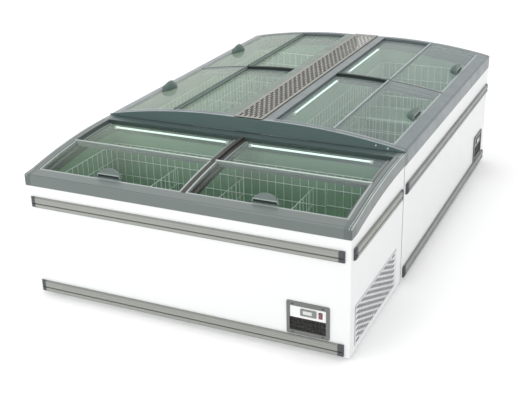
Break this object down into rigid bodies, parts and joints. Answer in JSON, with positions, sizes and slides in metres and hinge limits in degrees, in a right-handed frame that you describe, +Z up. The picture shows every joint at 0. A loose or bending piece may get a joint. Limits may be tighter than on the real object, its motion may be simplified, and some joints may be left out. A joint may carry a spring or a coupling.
{
  "type": "island freezer",
  "caption": "Supermarket island freezer: low arched cabinets joined in a block, each an insulated tub under curved glass lids that slide over one another.",
  "frame": {"origin": "on the floor, under the middle of the whole island", "axes": "+X to the right along the head cabinet's front, +Y from the head cabinet towards the far end of the island, +Z up"},
  "size_m": [1.875, 2.979, 0.88],
  "materials": {
    "white_panel": "gloss white coated sheet",
    "grey_rail": "satin grey extrusion",
    "lid_frame": "satin grey moulding",
    "lid_glass": "clear tempered glass with a green cast",
    "red_switch": "red rocker",
    "fan_plastic": "black moulding",
    "foam": "rigid foam",
    "tub_white": "coated liner sheet",
    "lamp": "lit diffuser tube",
    "lamp_socket": "white socket",
    "white_wire": "white coated wire",
    "bumper_grey": "grey-beige bumper profile",
    "charcoal_cap": "charcoal moulding",
    "dark_frame": "dark grey moulding",
    "white_plate": "white moulding",
    "display_bezel": "grey bezel with a pale window",
    "black_grille": "black bars",
    "zinc": "zinc-plated steel",
    "black_steel": "black enamel",
    "fin_aluminium": "bare aluminium",
    "foot_rubber": "black foot",
    "vent_grey": "pale grey slotted sheet",
    "grille_beige": "warm grey slotted sheet",
    "arch_dark": "dark grey-green sheet"
  },
  "bodies": {
    "island": {"arch_plate": "arch_dark", "base_frames": "zinc", "bumper_end_caps": "charcoal_cap", "centre_grille": "grille_beige", "compressors": "black_steel", "condensers": "fin_aluminium", "control_frames": "dark_frame", "control_plates": "white_plate", "evaporator_coils": "fin_aluminium", "fan_shrouds": "black_steel", "foam_insulation": "foam", "head_casing": "white_panel", "head_collar": "grey_rail", "intake_grilles": "black_grille", "lamp_holders": "lamp_socket", "lamp_tubes": "lamp", "left_casing": "white_panel", "left_collar": "grey_rail", "levelling_feet": "foot_rubber", "lower_bumpers": "bumper_grey", "mullions": "grey_rail", "right_casing": "white_panel", "right_collar": "grey_rail", "screws": "zinc", "thermometers": "display_bezel", "tub_liners": "tub_white", "upper_bumpers": "bumper_grey", "vent_panels": "vent_grey", "wire_dividers": "white_wire", "wire_liners": "white_wire"},
    "head_front_lid_a": {"head_front_lid_a_frame": "lid_frame", "head_front_lid_a_glass": "lid_glass"},
    "head_rear_lid_a": {"head_rear_lid_a_frame": "lid_frame", "head_rear_lid_a_glass": "lid_glass"},
    "head_front_lid_b": {"head_front_lid_b_frame": "lid_frame", "head_front_lid_b_glass": "lid_glass"},
    "head_rear_lid_b": {"head_rear_lid_b_frame": "lid_frame", "head_rear_lid_b_glass": "lid_glass"},
    "head_switch": {"head_switch": "red_switch"},
    "head_fan_rotor": {"head_fan_rotor": "fan_plastic"},
    "right_front_lid_a": {"right_front_lid_a_frame": "lid_frame", "right_front_lid_a_glass": "lid_glass"},
    "right_rear_lid_a": {"right_rear_lid_a_frame": "lid_frame", "right_rear_lid_a_glass": "lid_glass"},
    "right_front_lid_b": {"right_front_lid_b_frame": "lid_frame", "right_front_lid_b_glass": "lid_glass"},
    "right_rear_lid_b": {"right_rear_lid_b_frame": "lid_frame", "right_rear_lid_b_glass": "lid_glass"},
    "right_switch": {"right_switch": "red_switch"},
    "right_fan_rotor": {"right_fan_rotor": "fan_plastic"},
    "left_front_lid_a": {"left_front_lid_a_frame": "lid_frame", "left_front_lid_a_glass": "lid_glass"},
    "left_rear_lid_a": {"left_rear_lid_a_frame": "lid_frame", "left_rear_lid_a_glass": "lid_glass"},
    "left_front_lid_b": {"left_front_lid_b_frame": "lid_frame", "left_front_lid_b_glass": "lid_glass"},
    "left_rear_lid_b": {"left_rear_lid_b_frame": "lid_frame", "left_rear_lid_b_glass": "lid_glass"},
    "left_switch": {"left_switch": "red_switch"},
    "left_fan_rotor": {"left_fan_rotor": "fan_plastic"}
  },
  "joints": [
    {"name": "head_front_lid_a_slide", "type": "hinge", "parent": "island", "child": "head_front_lid_a", "pos_m": [0, -0.7185, -2.994], "axis": [-1, 0, 0], "range_deg": [0, 5.1]},
    {"name": "head_rear_lid_a_slide", "type": "hinge", "parent": "island", "child": "head_rear_lid_a", "pos_m": [0, -0.7185, -2.994], "axis": [-1, 0, 0], "range_deg": [-5.1, 0]},
    {"name": "head_front_lid_b_slide", "type": "hinge", "parent": "island", "child": "head_front_lid_b", "pos_m": [0, -0.7185, -2.994], "axis": [-1, 0, 0], "range_deg": [0, 5.1]},
    {"name": "head_rear_lid_b_slide", "type": "hinge", "parent": "island", "child": "head_rear_lid_b", "pos_m": [0, -0.7185, -2.994], "axis": [-1, 0, 0], "range_deg": [-5.1, 0]},
    {"name": "head_switch_rock", "type": "hinge", "parent": "island", "child": "head_switch", "pos_m": [0.7735, -1.4785, 0.2255], "axis": [1, 0, 0], "range_deg": [-16, 0]},
    {"name": "head_fan_spin", "type": "hinge", "parent": "island", "child": "head_fan_rotor", "pos_m": [0.8215, -1.0585, 0.16], "axis": [1, 0, 0], "continuous": true},
    {"name": "right_front_lid_a_slide", "type": "hinge", "parent": "island", "child": "right_front_lid_a", "pos_m": [0.1665, 0.4275, -2.909], "axis": [0, -1, 0], "range_deg": [0, 5.1]},
    {"name": "right_rear_lid_a_slide", "type": "hinge", "parent": "island", "child": "right_rear_lid_a", "pos_m": [0.1665, 0.4275, -2.909], "axis": [0, -1, 0], "range_deg": [-5.1, 0]},
    {"name": "right_front_lid_b_slide", "type": "hinge", "parent": "island", "child": "right_front_lid_b", "pos_m": [0.1665, 0.4275, -2.909], "axis": [0, -1, 0], "range_deg": [0, 5.1]},
    {"name": "right_rear_lid_b_slide", "type": "hinge", "parent": "island", "child": "right_rear_lid_b", "pos_m": [0.1665, 0.4275, -2.909], "axis": [0, -1, 0], "range_deg": [-5.1, 0]},
    {"name": "right_switch_rock", "type": "hinge", "parent": "island", "child": "right_switch", "pos_m": [0.9265, 1.3255, 0.2255], "axis": [0, 1, 0], "range_deg": [-16, 0]},
    {"name": "right_fan_spin", "type": "hinge", "parent": "island", "child": "right_fan_rotor", "pos_m": [0.5065, 1.3735, 0.16], "axis": [0, 1, 0], "continuous": true},
    {"name": "left_front_lid_a_slide", "type": "hinge", "parent": "island", "child": "left_front_lid_a", "pos_m": [-0.1665, 0.4275, -2.909], "axis": [0, 1, 0], "range_deg": [0, 5.1]},
    {"name": "left_rear_lid_a_slide", "type": "hinge", "parent": "island", "child": "left_rear_lid_a", "pos_m": [-0.1665, 0.4275, -2.909], "axis": [0, 1, 0], "range_deg": [-5.1, 0]},
    {"name": "left_front_lid_b_slide", "type": "hinge", "parent": "island", "child": "left_front_lid_b", "pos_m": [-0.1665, 0.4275, -2.909], "axis": [0, 1, 0], "range_deg": [0, 5.1]},
    {"name": "left_rear_lid_b_slide", "type": "hinge", "parent": "island", "child": "left_rear_lid_b", "pos_m": [-0.1665, 0.4275, -2.909], "axis": [0, 1, 0], "range_deg": [-5.1, 0]},
    {"name": "left_switch_rock", "type": "hinge", "parent": "island", "child": "left_switch", "pos_m": [-0.9265, -0.4705, 0.2255], "axis": [0, -1, 0], "range_deg": [-16, 0]},
    {"name": "left_fan_spin", "type": "hinge", "parent": "island", "child": "left_fan_rotor", "pos_m": [-0.5065, -0.5185, 0.16], "axis": [0, -1, 0], "continuous": true}
  ]
}
